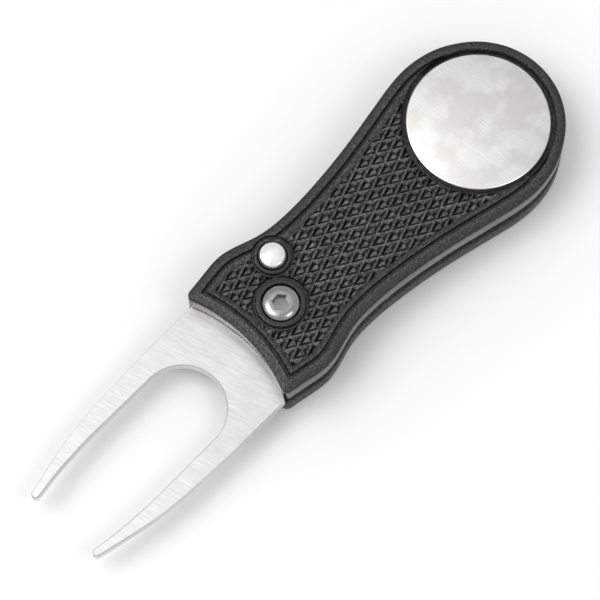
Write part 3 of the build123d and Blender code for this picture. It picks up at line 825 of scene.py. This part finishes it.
def brushed_fork():
    """Blade steel, ground in one direction, with a few longer scratches."""
    finish = Finish("brushed_fork", 0.3)
    lines = finish.noise(0.2, 3.0, 14.0, BRUSH_TURN)
    broad = finish.noise(0.45, 3.0, 10.0, BRUSH_TURN)
    patches = finish.noise(7.0, 2.0)
    scratch = finish.ramp(finish.noise(0.14, 1.0, 30.0, BRUSH_TURN + 11), 0, 1, 0.68, 0.74)
    tone = finish.mix(finish.ramp(broad, 0, 1), (0.69, 0.69, 0.68), (0.79, 0.79, 0.775))
    tone = finish.mix(finish.ramp(lines, 0, 0.5), tone, (0.55, 0.55, 0.54))
    finish.set("Base Color", finish.mix(scratch, tone, (0.85, 0.85, 0.83)))
    rough = finish.combine("ADD", finish.ramp(lines, -0.04, 0.05), finish.ramp(patches, 0.3, 0.38))
    finish.set("Roughness", rough)
    finish.bump((broad, 0.003), (lines, 0.004), (scratch, 0.002))
    return finish.material


def marker_steel():
    """Pale satin steel with soft blotches and fine slanting scratches."""
    finish = Finish("marker_steel", 0.3)
    blotches = finish.noise(5.0, 3.0)
    scratches = finish.noise(0.2, 3.0, 20.0, BRUSH_TURN - 9)
    crossing = finish.ramp(finish.noise(0.1, 1.0, 40.0, 24), 0, 1, 0.68, 0.75)
    tone = finish.mix(
        finish.ramp(blotches, 0, 1, 0.42, 0.58), (0.74, 0.73, 0.705), (0.93, 0.93, 0.925)
    )
    tone = finish.mix(finish.ramp(scratches, 0, 0.5), tone, (0.66, 0.66, 0.65))
    finish.set("Base Color", finish.mix(crossing, tone, (0.85, 0.85, 0.84)))
    rough = finish.combine(
        "ADD", finish.ramp(scratches, -0.04, 0.05), finish.ramp(blotches, 0.38, 0.28)
    )
    finish.set("Roughness", rough)
    finish.bump((blotches, 0.03), (scratches, 0.004), (crossing, 0.002))
    return finish.material


PATCH_GRAIN = 14  # how much coarser a plain metal's patches are than its grain
EDGE_WEAR_AND_HIGHLIGHT = 1.3  # how much paler its sharp edges are painted: rubbed wear and painted highlight


def metal(name, dark, light, rough, grain, stretch=1.0, depth=0.003):
    """A plain machined or plated metal: tone, gloss and relief follow its grain."""
    finish = Finish(name, rough)
    fine = finish.noise(grain, 3.0, stretch)
    patches = finish.noise(grain * PATCH_GRAIN, 2.0)
    tone = finish.mix(finish.ramp(patches, 0, 1), dark, light)
    # Sharp edges are painted paler here: rubbed wear and painted highlight.
    edge_wear_and_highlight = tuple(min(1, share * EDGE_WEAR_AND_HIGHLIGHT) for share in light)
    finish.set("Base Color", finish.mix(finish.wear_and_highlight_share(), tone, edge_wear_and_highlight))
    change = finish.combine("ADD", finish.ramp(fine, -0.05, 0.05), finish.ramp(patches, -0.04, 0.04))
    finish.set("Roughness", finish.combine("ADD", change, rough))
    finish.bump((fine, depth))
    return finish.material


def slide_plastic():
    """Natural low-friction plastic of the two slide rings."""
    finish = Finish("slide_plastic", 0.5, 0.0)
    grain = finish.noise(0.2, 2.0)
    tone = finish.mix(finish.ramp(grain, 0, 1), (0.66, 0.65, 0.6), (0.78, 0.77, 0.72))
    finish.set("Base Color", tone)
    finish.set("Roughness", finish.ramp(grain, 0.44, 0.58))
    finish.bump((grain, 0.006))
    return finish.material


def finish_nodes():
    """Gives every CAD node and every new piece its material."""
    plastic = black_plastic()
    steel = metal("turned_steel", (0.5, 0.5, 0.5), (0.64, 0.64, 0.63), 0.24, 0.08, 4.0)
    made = {
        "black_plastic": plastic, "frame_metal": frame_metal(), "brushed_steel": brushed_fork(),
        "polished_steel": steel, "slide_ring": slide_plastic(),
        "spring_steel": metal("spring_wire", (0.3, 0.3, 0.31), (0.46, 0.46, 0.46), 0.3, 0.05, 5.0),
        "cup_steel": metal("cup_zinc", (0.48, 0.48, 0.47), (0.62, 0.62, 0.6), 0.36, 0.3, 1.0),
        "magnet_nickel": metal("magnet_nickel", (0.6, 0.59, 0.56), (0.7, 0.69, 0.66), 0.22, 0.25),
        "screw_steel": metal("screw_zinc", (0.3, 0.3, 0.31), (0.44, 0.44, 0.45), 0.34, 0.12, 2.0),
    }
    for part in frame["record"]["subparts"]:
        data = nodes[part["node"]].data
        data.materials.clear()
        data.materials.append(made[part["material_slot"]])
    grip_cover(plastic)
    back_cover(plastic)
    screw = metal("screw_dark", (0.24, 0.24, 0.245), (0.34, 0.34, 0.34), 0.24, 0.14, 3.0, 0.004)
    pivot_screw(screw)
    bright = metal("button_bright", (0.9, 0.9, 0.89), (0.96, 0.96, 0.95), 0.2, 0.12, 12.0, 0.001)
    button_cap(bright)
    marker_disc(marker_steel())


# ------------------------------------------------------------------ floor, light and camera
CAMERA_AIM = Vector((0.0052, 0.00072, 0.0))
CAMERA_DISTANCE = 0.6
CAMERA_ELEVATION = radians(71.4)
CAMERA_AZIMUTH = radians(-44.15)
CAMERA_LENS, CAMERA_SENSOR = 209.2, 36
CAMERA_CLIP = (0.01, 10)
FLOOR_REACH = 3.0
ROOM_LIGHT = 0.68
# Square area lights, all aimed at the origin: name, place, side, power
AREA_LIGHTS = [
    ("key_softbox", (-0.45, 0.42, 1.15), 0.8, 7.5),
    ("side_fill", (0.1, -0.6, 1.0), 0.35, 1.5),
    ("top_panel", (0.28, 0.29, 1.2), 0.55, 0.24),
]


def floor():
    """A plain pale floor under the handle's back."""
    mesh = bpy.data.meshes.new("floor")
    reach = FLOOR_REACH
    corners = [(-reach, -reach, 0), (reach, -reach, 0), (reach, reach, 0), (-reach, reach, 0)]
    mesh.from_pydata(corners, [], [(0, 1, 2, 3)])
    made = bpy.data.objects.new("floor", mesh)
    bpy.context.scene.collection.objects.link(made)
    paper = Finish("floor_paper", 0.9, 0.0)
    paper.shader.inputs["Base Color"].default_value = (0.9, 0.9, 0.905, 1)
    paper.shader.inputs["Specular IOR Level"].default_value = 0.1
    mesh.materials.append(paper.material)


def area_light(name, place, side, power):
    """One square light that shines from its place towards the origin."""
    light = bpy.data.lights.new(name, "AREA")
    light.shape = "RECTANGLE"
    light.size = light.size_y = side
    light.energy = power
    made = bpy.data.objects.new(name, light)
    bpy.context.scene.collection.objects.link(made)
    made.location = place
    made.rotation_mode = "QUATERNION"
    made.rotation_quaternion = (-Vector(place)).to_track_quat("-Z", "Y")


def lights():
    """An even white room with three area lights."""
    world = bpy.data.worlds.new("soft_room")
    bpy.context.scene.world = world
    world.use_nodes = True
    background = world.node_tree.nodes["Background"]
    background.inputs["Color"].default_value = (1, 1, 1, 1)
    background.inputs["Strength"].default_value = ROOM_LIGHT
    for name, place, side, power in AREA_LIGHTS:
        area_light(name, place, side, power)
    bpy.context.scene.view_settings.view_transform = "Standard"


def camera():
    """A long lens that looks down on the open tool."""
    data = bpy.data.cameras.new("view")
    made = bpy.data.objects.new("view", data)
    bpy.context.scene.collection.objects.link(made)
    e, a = CAMERA_ELEVATION, CAMERA_AZIMUTH
    back = Vector((sin(a) * cos(e), -cos(a) * cos(e), sin(e)))
    right = Vector((cos(a), sin(a), 0))
    up = back.cross(right)
    turn = Matrix((right, up, back)).transposed().to_4x4()
    made.matrix_world = Matrix.Translation(CAMERA_AIM + back * CAMERA_DISTANCE) @ turn
    data.lens = CAMERA_LENS
    data.sensor_width = CAMERA_SENSOR
    data.clip_start, data.clip_end = CAMERA_CLIP
    bpy.context.scene.camera = made


finish_nodes()
floor()
lights()
camera()
